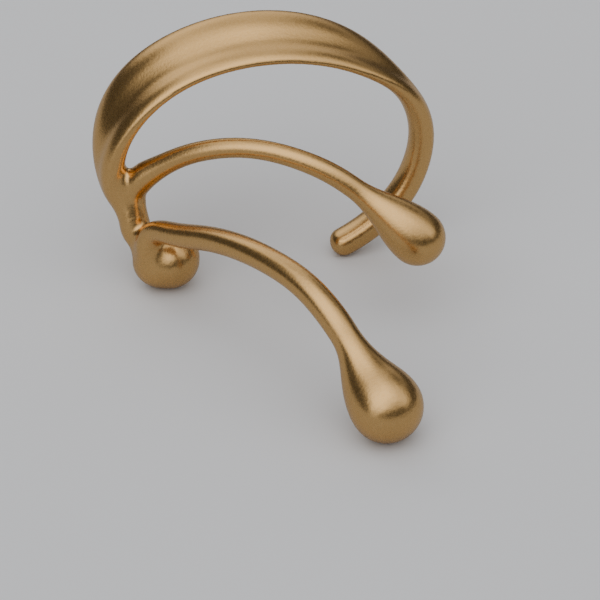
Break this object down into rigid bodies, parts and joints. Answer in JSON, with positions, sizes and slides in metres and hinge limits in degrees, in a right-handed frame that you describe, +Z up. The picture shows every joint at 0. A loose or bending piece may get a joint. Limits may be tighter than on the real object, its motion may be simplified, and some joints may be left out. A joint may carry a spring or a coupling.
{
  "type": "ear cuff",
  "caption": "Open ear cuff in satin gold: a fluted band curls round the ear and two thin arms sweep forward, each ending in a smooth drop.",
  "frame": {"origin": "on the surface it stands on, under the middle of its bounding box", "axes": "+Z up, -Y towards the drops at the front, +X across the band from its thick side to its free end"},
  "size_m": [0.015, 0.0182, 0.0112],
  "materials": {
    "satin_gold": "satin gold plating over cast brass, soft bright highlights, very fine grain"
  },
  "bodies": {
    "root": {"ear_cuff": "satin_gold"}
  },
  "joints": []
}
